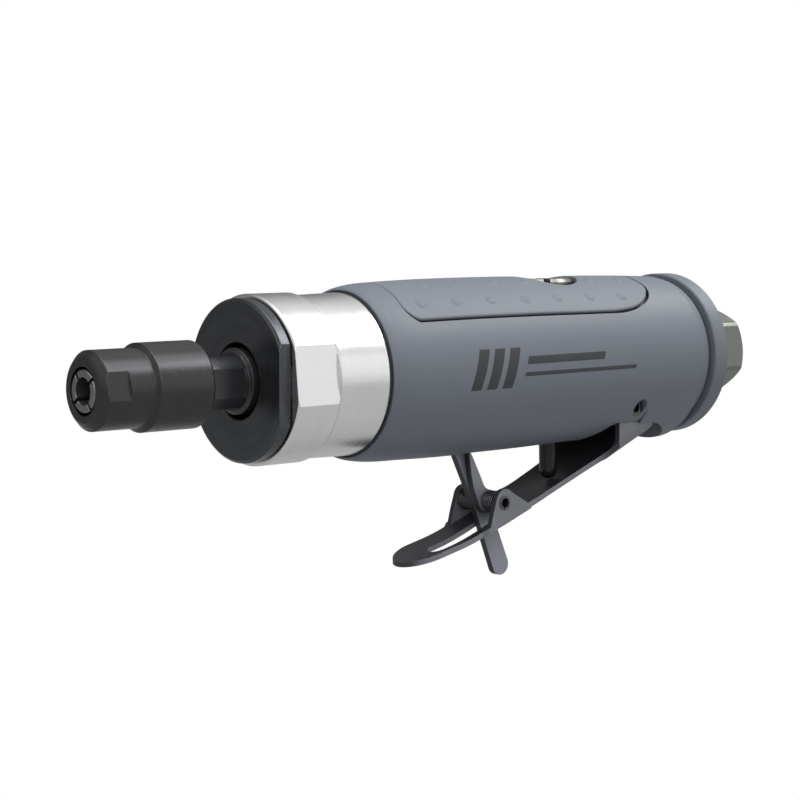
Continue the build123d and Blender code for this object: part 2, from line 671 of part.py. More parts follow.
# ---------------------------------------------------------------- throttle lever
def make_throttle_lever():
    # side view of the heel cheeks: (x, z)
    cheek_rear_x, cheek_bottom = 175.2, -36.0
    cheeks = [
        (HEEL_FRONT_X, cheek_bottom), (HEEL_FRONT_X, -11.6), (159.0, -9.9), (162.8, -9.9),
        (165.6, -12.2), (172.9, -19.0), (cheek_rear_x, -20.2), (cheek_rear_x, cheek_bottom)]
    outer_width, outer_height = 2 * HEEL_HALF, 20.0
    inner_half = HEEL_HALF - HEEL_WALL
    inner_height = 22.0
    # ends of the trough section, on its inner and outer arcs
    trough_outer = TROUGH_R + SHEET
    edge_sin, edge_cos = sin(radians(TROUGH_HALF_ANGLE)), cos(radians(TROUGH_HALF_ANGLE))
    inner_end = (TROUGH_R * edge_sin, TROUGH_R - TROUGH_R * edge_cos)
    outer_end = (trough_outer * edge_sin, TROUGH_R - trough_outer * edge_cos)
    # +Y edge of the tongue: (x, y)
    tongue = [(TONGUE_X, TONGUE_HALF), (112.9, TONGUE_HALF), (114.4, LEVER_HALF), LEVER_FLARE[0]]
    plan_rear_x = 180.0

    with BuildPart() as lever:
        # deep U at the heel, its two cheeks hang on the pivot pin
        with BuildSketch(Plane(origin=(156.0, 0, -28.08), x_dir=(0, 1, 0),
                               z_dir=(0.9256, 0, 0.3786))):
            with Locations((0, HEEL_SIDE_Y)):
                Ellipse(HEEL_HALF, HEEL_DEPTH)
            with Locations((0, HEEL_SIDE_Y + outer_height / 2)):
                Rectangle(outer_width, outer_height)
            with Locations((0, HEEL_SIDE_Y)):
                Ellipse(inner_half, HEEL_DEPTH - HEEL_WALL, mode=Mode.SUBTRACT)
            with Locations((0, HEEL_SIDE_Y + inner_height / 2)):
                Rectangle(2 * inner_half, inner_height, mode=Mode.SUBTRACT)
        extrude(amount=24.0)
        with BuildSketch(Plane.XZ) as cheek_outline:
            with BuildLine():
                Polyline(*cheeks, close=True)
            make_face()
            fillet(cheek_outline.vertices().sort_by(Axis.Y)[-2:], 1.4)
        extrude(amount=20, both=True, mode=Mode.INTERSECT)
        # shallow trough with an arched section
        with BuildLine(mode=Mode.PRIVATE) as trough_path:
            Spline(*[(x, 0, z) for x, z in LEVER_LINE])
        with BuildSketch(Plane(origin=trough_path.line @ 0, x_dir=(0, 1, 0),
                               z_dir=trough_path.line % 0)):
            with BuildLine():
                for radius in (TROUGH_R, trough_outer):
                    CenterArc((0, TROUGH_R), radius, -90 - TROUGH_HALF_ANGLE,
                              2 * TROUGH_HALF_ANGLE)
                for side in (-1, 1):
                    Line((side * inner_end[0], inner_end[1]), (side * outer_end[0], outer_end[1]))
            make_face()
        sweep(path=trough_path.line)
        # plan outline: round tongue tip, straight middle, flared heel
        with BuildSketch(Plane.XY.offset(-60)):
            with BuildLine():
                EllipticalCenterArc((TONGUE_X, 0), 9.3, TONGUE_HALF, start_angle=90, arc_size=180)
                Polyline(*tongue)
                Spline(*LEVER_FLARE, tangents=((1, 0), (0.5, 1)))
                Polyline(LEVER_FLARE[-1], (plan_rear_x, HEEL_HALF), (plan_rear_x, -HEEL_HALF),
                         mirrored(LEVER_FLARE)[0])
                Spline(*mirrored(LEVER_FLARE), tangents=((-0.5, 1), (-1, 0)))
                Polyline(*mirrored(tongue))
            make_face()
        extrude(amount=60, mode=Mode.INTERSECT)
        # two ears that carry the lock pin
        with BuildSketch(Plane.XZ.offset(-LEVER_HALF), Plane.XZ.offset(LEVER_HALF - EAR_THICK)):
            with BuildLine():
                Polyline((129.6, -37.9), (129.3, -37.0), (122.6, -33.1))
                ThreePointArc((122.6, -33.1), (119.9, -32.05), (117.4, -33.9))
                Polyline((117.4, -33.9), (116.0, -38.0), (114.5, -43.2), (121.0, -41.0),
                         (129.6, -37.9))
            make_face()
        extrude(amount=EAR_THICK)
        # slot in the tongue for the lock tab
        with BuildSketch(Plane.XY.offset(-60)):
            with Locations((114.2, 0)):
                SlotOverall(26.0, 5.2)
        extrude(amount=25, mode=Mode.SUBTRACT)
        # bend-relief slits behind the ears
        with Locations(*[Location((131.0, y, -36.15), (0, -20.5, 0)) for y in (7.6, -7.6)]):
            Box(3.4, 1.0, 3.2, mode=Mode.SUBTRACT)
        # pin holes
        with Locations(along_y(PIVOT_X, 0, PIVOT_Z)):
            Cylinder(LEVER_PIN_R + GAP, 40.0, mode=Mode.SUBTRACT)
        with Locations(along_y(LOCK_X, 0, LOCK_Z)):
            Cylinder(LOCK_PIN_R + PIN_FIT, 40.0, mode=Mode.SUBTRACT)
    return lever.part


# ---------------------------------------------------------------- lock lever
def make_lock_lever():
    with BuildPart() as lock:
        # long latch plate with the finger tab
        with BuildSketch(Plane.XZ.offset(-LATCH_Y)):
            with BuildLine():
                Polyline((110.2, -22.5), (114.9, -22.4), (118.3, -31.0), (121.4, -33.0))
                ThreePointArc((121.4, -33.0), (123.1, -35.65), (122.4, -38.0))
                Polyline((122.4, -38.0), (125.3, -44.3), (128.55, -52.4))
                ThreePointArc((128.55, -52.4), (126.7, -56.0), (123.2, -54.0))
                Polyline((123.2, -54.0), (120.6, -47.0), (117.4, -38.2), (114.7, -32.1),
                         (110.2, -22.5))
            make_face()
        extrude(amount=LATCH_THICK)
        # shorter pointed horn
        with BuildSketch(Plane.XZ.offset(-HORN_Y)):
            with BuildLine():
                Polyline((113.9, -22.4), (113.4, -22.5), (114.1, -28.3), (115.0, -32.3),
                         (116.7, -36.4))
                ThreePointArc((116.7, -36.4), (119.0, -38.65), (122.2, -37.8))
                ThreePointArc((122.2, -37.8), (123.05, -35.65), (121.9, -33.4))
                Spline((121.9, -33.4), (120.5, -32.8), (118.9, -31.9), (117.8, -29.96),
                       (116.43, -27.2), (113.9, -22.4))
            make_face()
        extrude(amount=HORN_THICK)
        # hub that joins both plates around the pin
        with BuildSketch(Plane.XZ.offset(-LATCH_Y)):
            with Locations((LOCK_X, LOCK_Z)):
                Circle(HUB_R)
        extrude(amount=LATCH_Y - HORN_Y + HORN_THICK)
        with Locations(along_y(LOCK_X, 0, LOCK_Z)):
            Cylinder(LOCK_PIN_R + GAP, 20.0, mode=Mode.SUBTRACT)
    return lock.part


def make_lock_spring():
    """One coil on each side of the lock, between it and the ear."""
    coils = [Helix(pitch=COIL_PITCH, height=height, radius=COIL_R, center=(LOCK_X, y, LOCK_Z),
                   direction=(0, 1, 0), mode=Mode.PRIVATE) for y, height in COILS]
    with BuildPart() as spring:
        for coil in coils:
            with BuildSketch(Plane(origin=coil @ 0, z_dir=coil % 0)) as coil_section:
                Circle(COIL_WIRE_R)
            sweep(coil_section.sketch, path=coil, is_frenet=True)
    return spring.part


# ---------------------------------------------------------------- rear end
def make_exhaust_deflector():
    collar_r, flange_x = 19.7, 187.2
    hub_x = DEFLECTOR_X0 + 0.1
    profile = [
        (DEFLECTOR_X0, FELT_OUTER_WALL), (DEFLECTOR_X0, collar_r), (flange_x, collar_r),
        (flange_x, 22.1), (187.55, FLANGE_R), (191.95, FLANGE_R), (DEFLECTOR_X1, 22.0),
        (DEFLECTOR_X1, DEFLECTOR_BORE), (hub_x, DEFLECTOR_BORE), (hub_x, FELT_INNER_WALL),
        (DEFLECTOR_WALL_X, FELT_INNER_WALL), (DEFLECTOR_WALL_X, FELT_OUTER_WALL)]
    with BuildPart() as deflector:
        with BuildSketch(Plane.XZ):
            with BuildLine():
                Polyline(*profile, close=True)
            make_face()
        revolve(axis=Axis.X)
        # outlet holes over the lower part of the rear wall
        for angle in range(-75, 76, 25):
            with Locations(about_x(191.6, angle) * along_x(0, 0, -16.2)):
                Cylinder(1.9, 3.0, mode=Mode.SUBTRACT)
    return deflector.part


def make_inlet_bushing():
    hex_envelope = [(192.4, 0), (192.4, 12.5), (211.0, 12.5), (HEX_X1, 10.8), (HEX_X1, 0)]
    front_body = [(166.2, 0), (166.2, 7.1), (166.7, 7.55), (184.1, 7.55), (184.1, 11.0),
                  (192.5, 11.0), (192.5, 0)]
    bore = [
        (165.0, 0), (165.0, 4.3), (193.9, 4.3), (193.9, 5.05), (194.8, 5.05), (194.8, INLET_R),
        (211.7, INLET_R), (HEX_X1 + 0.1, 6.65), (HEX_X1 + 0.1, 0)]
    with BuildPart() as bushing:
        with BuildSketch(Plane.YZ.offset(HEX_X0)):
            RegularPolygon(radius=HEX_HALF, side_count=6, major_radius=False, rotation=23.5)
        extrude(amount=HEX_X1 - HEX_X0)
        # turn the hex corners and rear bevel, add the round front, then bore through
        for profile, mode in ((hex_envelope, Mode.INTERSECT), (front_body, Mode.ADD),
                              (bore, Mode.SUBTRACT)):
            with BuildSketch(Plane.XZ):
                with BuildLine():
                    Polyline(*profile, close=True)
                make_face()
            revolve(axis=Axis.X, mode=mode)
    return bushing.part


def make_inlet_screen():
    with BuildPart() as screen:
        with BuildSketch(Plane.YZ.offset(193.95)):
            Circle(5.0)
            with PolarLocations(2.9, 6):
                Circle(1.0, mode=Mode.SUBTRACT)
            Circle(1.0, mode=Mode.SUBTRACT)
        extrude(amount=0.75)
    return screen.part


# ---------------------------------------------------------------- build and export
PIECES = {
    "collet_nut": make_collet_nut(),
    "collet": make_collet(),
    "rotor_spindle": make_rotor_spindle(),
    "rotor_vanes": make_rotor_vanes(),
    "front_cap": make_front_cap(),
    "nose_housing": make_nose_housing(),
    "front_bearing_washer": make_ring(x=50.75, outer_r=13.6, inner_r=10.8, length=0.5),
    "front_bearing_outer_race": make_outer_race(FRONT_BEARING),
    "front_bearing_inner_race": make_inner_race(FRONT_BEARING),
    "front_bearing_balls": make_balls(FRONT_BEARING),
    "front_end_plate": make_front_end_plate(),
    "cylinder_liner": make_cylinder_liner(),
    "rear_end_plate": make_rear_end_plate(),
    "dowel_pins": make_dowel_pins(),
    "motor_gasket": make_ring(x=PLATE_R_X1 + GAP, outer_r=16.9, inner_r=14.0, length=0.9),
    "rear_bearing_outer_race": make_outer_race(REAR_BEARING),
    "rear_bearing_inner_race": make_inner_race(REAR_BEARING),
    "rear_bearing_balls": make_balls(REAR_BEARING),
    "grip_housing": make_grip_housing(),
    "grip_pad": make_grip_pad(),
    "regulator_dial": make_regulator_dial(),
    "regulator_seal": make_regulator_seal(),
    "throttle_plunger": make_throttle_plunger(),
    "valve_bushing": make_valve_bushing(),
    "plunger_seal": make_plunger_seal(),
    "valve_seat": make_valve_seat(),
    "valve_ball": make_valve_ball(),
    "valve_spring": make_valve_spring(),
    "throttle_lever": make_throttle_lever(),
    "lever_pin": make_slit_pin(
        PIVOT_X, PIVOT_Z, radius=LEVER_PIN_R, bore_r=1.35, length=33.6,
        slit_angle=35, slit_offset=1.8, slit_width=0.5, slit_depth=1.6),
    "lock_lever": make_lock_lever(),
    "lock_pin": make_slit_pin(
        LOCK_X, LOCK_Z, radius=LOCK_PIN_R, bore_r=1.25, length=17.4,
        slit_angle=10, slit_offset=-1.5, slit_width=0.4, slit_depth=1.2),
    "lock_spring": make_lock_spring(),
    "exhaust_deflector": make_exhaust_deflector(),
    "muffler_felt": make_ring(x=184.5, outer_r=18.8, inner_r=12.5, length=6.3),
    "inlet_bushing": make_inlet_bushing(),
    "inlet_screen": make_inlet_screen(),
    "inlet_seal": make_ring(x=SEAL_X, outer_r=10.9, inner_r=7.65, length=SEAL_THICK),
}
for name, piece in PIECES.items():
    piece.label = name
    export_step(piece, f"parts/{name}.step")
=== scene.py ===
# A pneumatic die grinder, lying along X: collet and nose at low x, air inlet at high x.
# The grip is round about the X axis. Its soft pad is on top (+Z), the throttle lever below (-Z).
# The camera looks from the front, on the -Y side.
import math
import random
from bisect import bisect_left

import bmesh
import bpy
from mathutils import Matrix, Vector
from mathutils.bvhtree import BVHTree


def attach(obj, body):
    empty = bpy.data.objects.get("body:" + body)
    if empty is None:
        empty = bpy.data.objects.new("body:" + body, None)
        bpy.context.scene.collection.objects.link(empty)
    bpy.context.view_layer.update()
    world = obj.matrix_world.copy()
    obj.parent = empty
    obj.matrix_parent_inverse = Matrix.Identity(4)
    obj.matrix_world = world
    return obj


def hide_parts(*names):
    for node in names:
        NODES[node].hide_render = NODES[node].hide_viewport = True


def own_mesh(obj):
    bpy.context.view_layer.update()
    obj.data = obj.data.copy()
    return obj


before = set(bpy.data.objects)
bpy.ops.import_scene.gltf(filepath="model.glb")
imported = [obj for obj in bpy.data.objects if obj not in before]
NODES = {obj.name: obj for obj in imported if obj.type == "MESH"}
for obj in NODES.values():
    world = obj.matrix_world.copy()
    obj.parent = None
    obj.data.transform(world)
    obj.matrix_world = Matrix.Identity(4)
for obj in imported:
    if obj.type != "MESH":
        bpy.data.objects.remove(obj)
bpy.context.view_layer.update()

random.seed(7)

MM = 0.001                    # meshes are laid out in mm and scaled by this to metres
REGULATOR_X = 141.5           # upright axis of the regulator dial, mm
THROTTLE_X = 0.1441           # upright axis of the throttle plunger and valve, m
LEVER_PIN = {"center_x": 0.161, "center_z": -0.013}         # axes along Y, m
LOCK_PIN = {"center_x": 0.1199, "center_z": -0.03565}


# ------------------------------------------------------------------ shader node helpers
class Nodes:
    """Builds the node tree of a material or world from nested calls."""

    def __init__(self, owner):
        owner.use_nodes = True
        self.tree = owner.node_tree
        self.tree.nodes.clear()

    def put(self, socket, value):
        """Link a socket, or set a plain value. A color is given as three numbers."""
        if isinstance(value, bpy.types.NodeSocket):
            self.tree.links.new(value, socket)
        elif isinstance(value, tuple):
            socket.default_value = (*value, 1)
        else:
            socket.default_value = value

    def node(self, kind, inputs=None, **settings):
        node = self.tree.nodes.new(kind)
        for key, value in settings.items():
            setattr(node, key, value)
        for key, value in (inputs or {}).items():
            self.put(node.inputs[key], value)
        return node

    def math(self, operation, *values, clamp=False):
        inputs = dict(enumerate(values))
        return self.node("ShaderNodeMath", inputs, operation=operation, use_clamp=clamp).outputs[0]

    def add(self, a, b, clamp=False):
        return self.math("ADD", a, b, clamp=clamp)

    def mul(self, a, b):
        return self.math("MULTIPLY", a, b)

    def ramp(self, value, lo, hi, start=0.0, end=1.0):
        """Map lo..hi to start..end, clamped."""
        inputs = {0: value, 1: lo, 2: hi, 3: start, 4: end}
        return self.node("ShaderNodeMapRange", inputs, clamp=True).outputs[0]

    def split(self, vector):
        return self.node("ShaderNodeSeparateXYZ", {0: vector}).outputs

    def mix_shader(self, factor, first, second):
        return self.node("ShaderNodeMixShader", {0: factor, 1: first, 2: second}).outputs[0]


class Surface(Nodes):
    """A material with one Principled shader, textured in object coordinates (metres)."""

    def __init__(self, name):
        self.material = bpy.data.materials.new(name)
        super().__init__(self.material)
        output = self.node("ShaderNodeOutputMaterial")
        self.principled = self.node("ShaderNodeBsdfPrincipled")
        self.put(output.inputs["Surface"], self.principled.outputs[0])
        self.position = self.node("ShaderNodeTexCoord").outputs["Object"]

    def combine(self, x, y, z):
        return self.node("ShaderNodeCombineXYZ", {0: x, 1: y, 2: z}).outputs[0]

    def stretched(self, x_scale, y_scale, z_scale):
        x, y, z = self.split(self.position)
        return self.combine(self.mul(x, x_scale), self.mul(y, y_scale), self.mul(z, z_scale))

    def polar(self, axis, center_x, center_z):
        """Radius, angle and distance along an axis; a center is used only across that axis."""
        x, y, z = self.split(self.position)
        if axis == "X":
            a, b, along = y, z, x
        elif axis == "Y":
            a = self.math("SUBTRACT", x, center_x)
            b, along = self.math("SUBTRACT", z, center_z), y
        else:
            a, b, along = self.math("SUBTRACT", x, center_x), y, z
        radius = self.math("SQRT", self.add(self.mul(a, a), self.mul(b, b)))
        return radius, self.math("ARCTAN2", b, a), along

    def noise(self, scale, detail, roughness, distortion=0.0, vector=None):
        inputs = {"Scale": scale, "Detail": detail, "Roughness": roughness,
                  "Distortion": distortion, "Vector": vector or self.position}
        return self.node("ShaderNodeTexNoise", inputs).outputs["Fac"]

    def swing(self, noise, amount):
        """Noise centered on zero, scaled by amount."""
        return self.mul(self.math("SUBTRACT", noise, 0.5), amount)

    def mix(self, factor, a, b, blend="MIX"):
        inputs = {0: factor, 6: a, 7: b}
        return self.node("ShaderNodeMix", inputs, data_type="RGBA", blend_type=blend).outputs[2]

    def shade(self, color, factor):
        """Multiply a color by a grey factor."""
        return self.mix(1.0, color, self.combine(factor, factor, factor), "MULTIPLY")

    def bevel(self, radius):
        return self.node("ShaderNodeBevel", {"Radius": radius}, samples=6).outputs[0]

    def edge(self, radius, lo=0.02, hi=0.25):
        """1 on sharp edges, 0 on faces."""
        rounded = self.bevel(radius)
        flat = self.node("ShaderNodeNewGeometry").outputs["Normal"]
        dot = self.node("ShaderNodeVectorMath", {0: rounded, 1: flat}, operation="DOT_PRODUCT")
        return self.ramp(self.math("SUBTRACT", 1.0, dot.outputs["Value"]), lo, hi)

    def painted_crevice_shade(self, color, reach=0.0014, dark=0.25):
        """Painted shade: the colour darkens where a gap is narrow."""
        occlusion = self.node("ShaderNodeAmbientOcclusion", {"Distance": reach}, samples=8)
        return self.shade(color, self.ramp(occlusion.outputs["AO"], 0.25, 0.85, dark, 1.0))

    def bump(self, height, strength, distance, normal=None):
        inputs = {"Strength": strength, "Distance": distance, "Height": height}
        if normal is not None:
            inputs["Normal"] = normal
        return self.node("ShaderNodeBump", inputs).outputs[0]

    def finish(self, color, roughness, normal, metallic=0.0, specular=0.5):
        values = {"Base Color": color, "Roughness": roughness, "Metallic": metallic,
                  "Normal": normal, "Specular IOR Level": specular}
        for key, value in values.items():
            self.put(self.principled.inputs[key], value)
        return self.material


# ------------------------------------------------------------------ materials
# Amounts are swings of brightness or roughness; noise scales are per metre, lengths in metres.
def turned_metal(name, base, roughness, metallic, axis="X", center_x=0.0, center_z=0.0,
                 lines=0.35, edge_color=None, wear=0.5, relief=0.25, edge_radius=0.00025,
                 stain=0.06, fineness=9000.0):
    """Lathe-turned metal: fine rings on faces, fine circumferential lines on cylinders."""
    s = Surface(name)
    radius, angle, along = s.polar(axis, center_x, center_z)

    def rings(radial, axial, angular, detail, rough):
        vector = s.combine(s.mul(radius, radial), s.mul(along, axial), s.mul(angle, angular))
        return s.noise(scale=1.0, detail=detail, roughness=rough, vector=vector)

    fine = rings(radial=fineness, axial=fineness * 0.8, angular=1.2, detail=3.0, rough=0.6)
    broad = rings(radial=fineness * 0.12, axial=fineness * 0.06, angular=0.6, detail=2.0,
                  rough=0.5)
    blotch = s.noise(scale=160.0, detail=4.0, roughness=0.6)
    tone = s.add(s.swing(fine, lines * 0.6), s.swing(broad, lines * 0.5))
    tone = s.add(tone, s.swing(blotch, stain * 2))
    color = s.shade(base, s.add(1.0, tone))
    if edge_color:
        rim = s.mul(s.edge(edge_radius), wear)
        patchy = s.ramp(s.noise(scale=1400.0, detail=3.0, roughness=0.6),
                        lo=0.35, hi=0.6, start=0.55, end=1.0)
        color = s.mix(s.mul(rim, patchy), color, edge_color)
    rough = s.add(roughness, s.swing(fine, 0.12))
    rough = s.add(rough, s.swing(blotch, 0.10), clamp=True)
    normal = s.bump(fine, strength=relief, distance=0.00002, normal=s.bevel(edge_radius))
    return s.finish(color, rough, normal, metallic=metallic)


def moulded(name, base, roughness, grain, specular=0.4):
    """Moulded composite: fine spark-eroded grain, faint mottling, a soft painted highlight along
    the edges, painted shade in narrow gaps.
    """
    edge_radius = 0.0003
    # edge_color here is a painted highlight along the edges.
    edge_color = (0.30, 0.32, 0.35)
    s = Surface(name)
    fine = s.noise(scale=4200.0, detail=2.0, roughness=0.6)
    cells = s.node("ShaderNodeTexVoronoi", {"Scale": 2600.0, "Vector": s.position},
                   feature="F1").outputs["Distance"]
    mottle = s.noise(scale=120.0, detail=4.0, roughness=0.6)
    speck = s.ramp(s.noise(scale=3000.0, detail=1.0, roughness=0.5), lo=0.60, hi=0.75)
    tone = s.add(0.97, s.swing(mottle, 0.10))
    tone = s.add(tone, s.swing(fine, 0.16))
    tone = s.add(tone, s.mul(speck, 0.07))
    # Painted highlight along the edges, then painted shade where a gap is narrow.
    rim = s.mul(s.edge(edge_radius, lo=0.03, hi=0.4), 0.35)
    color = s.painted_crevice_shade(s.mix(rim, s.shade(base, tone), edge_color))
    rough = s.add(roughness, s.swing(mottle, 0.12))
    rough = s.add(rough, s.swing(fine, 0.10), clamp=True)
    height = s.add(s.mul(fine, 0.6), s.mul(cells, 0.4))
    normal = s.bump(height, strength=grain, distance=0.00006, normal=s.bevel(edge_radius))
    return s.finish(color, rough, normal, specular=specular)


def coated_sheet(name, base, side, edge_color, roughness=0.38):
    """Stamped sheet steel with a dark coat; `side` is painted light, a lighter colour on the faces
    that look along Y.
    """
    edge_radius = 0.00022
    s = Surface(name)
    rolling = s.noise(scale=1.0, detail=3.0, roughness=0.6,
                      vector=s.stretched(300.0, 5000.0, 5000.0))
    fine = s.noise(scale=5200.0, detail=2.0, roughness=0.6)
    blotch = s.noise(scale=220.0, detail=5.0, roughness=0.62)
    tone = s.add(1.0, s.swing(rolling, 0.22))
    tone = s.add(tone, s.swing(blotch, 0.35))
    tone = s.add(tone, s.swing(fine, 0.18))
    facing = s.split(s.node("ShaderNodeNewGeometry").outputs["Normal"])[1]
    # Painted light: faces that look along Y are mixed toward the lighter `side` colour.
    painted_lit_sides = s.ramp(s.math("ABSOLUTE", facing), lo=0.55, hi=0.95)
    color = s.shade(s.mix(painted_lit_sides, base, side), tone)
    patchy = s.ramp(s.noise(scale=900.0, detail=4.0, roughness=0.65),
                    lo=0.3, hi=0.62, start=0.45, end=1.0)
    rubbed = s.mul(s.mul(s.edge(edge_radius), patchy), 0.6)
    # Real edge wear, then painted shade where a gap is narrow.
    color = s.painted_crevice_shade(s.mix(rubbed, color, edge_color), reach=0.0010, dark=0.45)
    rough = s.add(roughness, s.swing(blotch, 0.22))
    rough = s.add(rough, s.swing(fine, 0.1), clamp=True)
    normal = s.bump(s.add(fine, s.mul(rolling, 0.6)), strength=0.25, distance=0.00004,
                    normal=s.bevel(edge_radius))
    return s.finish(color, rough, normal, metallic=0.25)


def rubber(name, base):
    s = Surface(name)
    fine = s.noise(scale=6000.0, detail=2.0, roughness=0.6)
    blotch = s.noise(scale=500.0, detail=3.0, roughness=0.6)
    color = s.shade(base, s.add(0.9, s.mul(blotch, 0.3)))
    rough = s.add(0.45, s.mul(blotch, 0.25), clamp=True)
    normal = s.bump(fine, strength=0.3, distance=0.00004, normal=s.bevel(0.0001))
    return s.finish(color, rough, normal)


def fibrous(name, base, roughness, scale):
    """Tangled fibres, drawn out along X."""
    s = Surface(name)
    x, y, z = s.split(s.position)
    tangle = s.noise(scale=scale, detail=4.0, roughness=0.7, distortion=0.8)
    strands = s.noise(scale=scale * 0.5, detail=3.0, roughness=0.6, distortion=1.5,
                      vector=s.combine(s.mul(x, 0.3), y, z))
    color = s.shade(base, s.add(0.6, s.mul(s.add(tangle, strands), 0.4)))
    normal = s.bump(s.add(tangle, strands), strength=0.8, distance=0.0002)
    return s.finish(color, roughness, normal)


def laminate(name, base):
    """Thin layers running along X."""
    s = Surface(name)
    layers = s.noise(scale=1.0, detail=3.0, roughness=0.6,
                     vector=s.stretched(900.0, 6000.0, 6000.0))
    color = s.shade(base, s.add(0.75, s.mul(layers, 0.5)))
    rough = s.add(0.45, s.mul(layers, 0.2))
    return s.finish(color, rough, s.bump(layers, strength=0.3, distance=0.00005))


def graphic_ink():
    s = Surface("graphic_ink")
    grain = s.noise(scale=3600.0, detail=3.0, roughness=0.6)
    worn = s.noise(scale=420.0, detail=4.0, roughness=0.6)
    color = s.shade((0.022, 0.024, 0.028), s.add(0.7, s.mul(s.add(grain, worn), 0.35)))
    rough = s.add(0.42, s.mul(worn, 0.2))
    return s.finish(color, rough, s.bump(grain, strength=0.3, distance=0.00005))


mats = {
    "nut": turned_metal(
        "nut_black_oxide", base=(0.052, 0.053, 0.055), roughness=0.29, metallic=0.80,
        edge_color=(0.20, 0.205, 0.21), wear=0.4, lines=0.25, relief=0.10),
    "cap": turned_metal(
        "cap_black_oxide", base=(0.078, 0.082, 0.090), roughness=0.28, metallic=0.88,
        edge_color=(0.34, 0.35, 0.36), wear=0.6, lines=1.2, relief=0.6, fineness=3600.0),
    "spindle": turned_metal(
        "spindle_black_oxide", base=(0.060, 0.062, 0.066), roughness=0.30, metallic=0.75,
        edge_color=(0.10, 0.102, 0.105), wear=0.25, lines=0.25, relief=0.08),
    "collet": turned_metal(
        "collet_spring_steel", base=(0.23, 0.235, 0.24), roughness=0.30, metallic=0.9,
        edge_color=(0.6, 0.6, 0.6), wear=0.4, lines=0.3, relief=0.1),
    "nose": turned_metal(
        "nose_turned_aluminium", base=(0.80, 0.805, 0.81), roughness=0.25, metallic=1.0,
        edge_color=(0.97, 0.97, 0.97), wear=0.6, lines=0.10, relief=0.06, stain=0.03,
        fineness=12000.0),
    "grip": moulded("grip_composite", base=(0.126, 0.141, 0.166), roughness=0.50, grain=0.30),
    "pad": moulded("pad_soft_overmould", base=(0.136, 0.150, 0.175), roughness=0.55, grain=0.22,
                   specular=0.35),
    "deflector": moulded("deflector_composite", base=(0.122, 0.136, 0.160), roughness=0.48,
                         grain=0.25),
    # The `side` colours are painted light: the lever's and lock's faces that look along Y get a
    # lighter colour.
    "lever": coated_sheet("lever_coated_steel", base=(0.040, 0.042, 0.047),
                          side=(0.175, 0.184, 0.203), edge_color=(0.26, 0.27, 0.285)),
    "lock": coated_sheet("lock_coated_steel", base=(0.026, 0.027, 0.030),
                         side=(0.245, 0.258, 0.290), edge_color=(0.05, 0.052, 0.056),
                         roughness=0.42),
    "plunger": turned_metal(
        "plunger_black", base=(0.018, 0.018, 0.019), roughness=0.18, metallic=0.3, axis="Z",
        center_x=THROTTLE_X, edge_color=(0.1, 0.1, 0.1), wear=0.3, lines=0.2, relief=0.05),
    "pin": turned_metal(
        "pin_blackened_steel", base=(0.10, 0.10, 0.105), roughness=0.32, metallic=0.9, axis="Y",
        **LEVER_PIN, edge_color=(0.35, 0.35, 0.35), lines=0.3),
    "lockpin": turned_metal(
        "lock_pin_steel", base=(0.12, 0.12, 0.125), roughness=0.32, metallic=0.9, axis="Y",
        **LOCK_PIN, edge_color=(0.35, 0.35, 0.35), lines=0.3),
    "wire": turned_metal(
        "spring_wire", base=(0.09, 0.09, 0.095), roughness=0.28, metallic=0.9, axis="Y",
        **LOCK_PIN, lines=0.2, edge_radius=0.0001),
    "hex": turned_metal(
        "hex_plated_steel", base=(0.185, 0.200, 0.180), roughness=0.34, metallic=0.85,
        edge_color=(0.55, 0.57, 0.54), wear=0.7, lines=0.14, relief=0.12, edge_radius=0.0002),
    "dial": turned_metal(
        "dial_plated_steel", base=(0.20, 0.21, 0.175), roughness=0.30, metallic=0.9, axis="Z",
        center_x=REGULATOR_X * MM, edge_color=(0.7, 0.7, 0.66), wear=0.6, relief=0.2),
    "steel": turned_metal(
        "ground_steel", base=(0.50, 0.51, 0.52), roughness=0.28, metallic=1.0,
        edge_color=(0.7, 0.7, 0.7), wear=0.3, lines=0.2, relief=0.1),
    "race": turned_metal(
        "bearing_steel", base=(0.62, 0.63, 0.64), roughness=0.12, metallic=1.0,
        edge_color=(0.8, 0.8, 0.8), wear=0.3, lines=0.08, relief=0.03),
    "brass": turned_metal(
        "turned_brass", base=(0.62, 0.45, 0.18), roughness=0.25, metallic=1.0, axis="Z",
        center_x=THROTTLE_X, edge_color=(0.8, 0.65, 0.35), wear=0.4, lines=0.2),
    "seal": rubber("nitrile_rubber", base=(0.012, 0.012, 0.013)),
    "fibre": fibrous("pressed_fibre", base=(0.30, 0.25, 0.17), roughness=0.85, scale=3200.0),
    "felt": fibrous("muffler_felt", base=(0.36, 0.35, 0.33), roughness=0.95, scale=2600.0),
    "vane": laminate("vane_laminate", base=(0.22, 0.12, 0.06)),
}
# CAD piece: material
PIECE_MATERIALS = {
    "collet_nut": "nut", "collet": "collet", "rotor_spindle": "spindle", "rotor_vanes": "vane",
    "front_cap": "cap", "nose_housing": "nose", "front_bearing_washer": "steel",
    "front_bearing_outer_race": "race", "front_bearing_inner_race": "race",
    "front_bearing_balls": "race", "front_end_plate": "steel", "cylinder_liner": "steel",
    "rear_end_plate": "steel", "dowel_pins": "steel", "motor_gasket": "fibre",
    "rear_bearing_outer_race": "race", "rear_bearing_inner_race": "race",
    "rear_bearing_balls": "race", "grip_housing": "grip", "grip_pad": "pad",
    "regulator_dial": "dial", "regulator_seal": "seal", "throttle_plunger": "plunger",
    "valve_bushing": "brass", "plunger_seal": "seal", "valve_seat": "seal",
    "valve_ball": "race", "valve_spring": "wire", "throttle_lever": "lever",
    "lever_pin": "pin", "lock_lever": "lock", "lock_pin": "lockpin", "lock_spring": "wire",
    "exhaust_deflector": "deflector", "muffler_felt": "felt", "inlet_bushing": "hex",
    "inlet_screen": "steel", "inlet_seal": "seal",
}
for piece, obj in NODES.items():
    obj.data.materials.clear()
    obj.data.materials.append(mats[PIECE_MATERIALS[piece]])


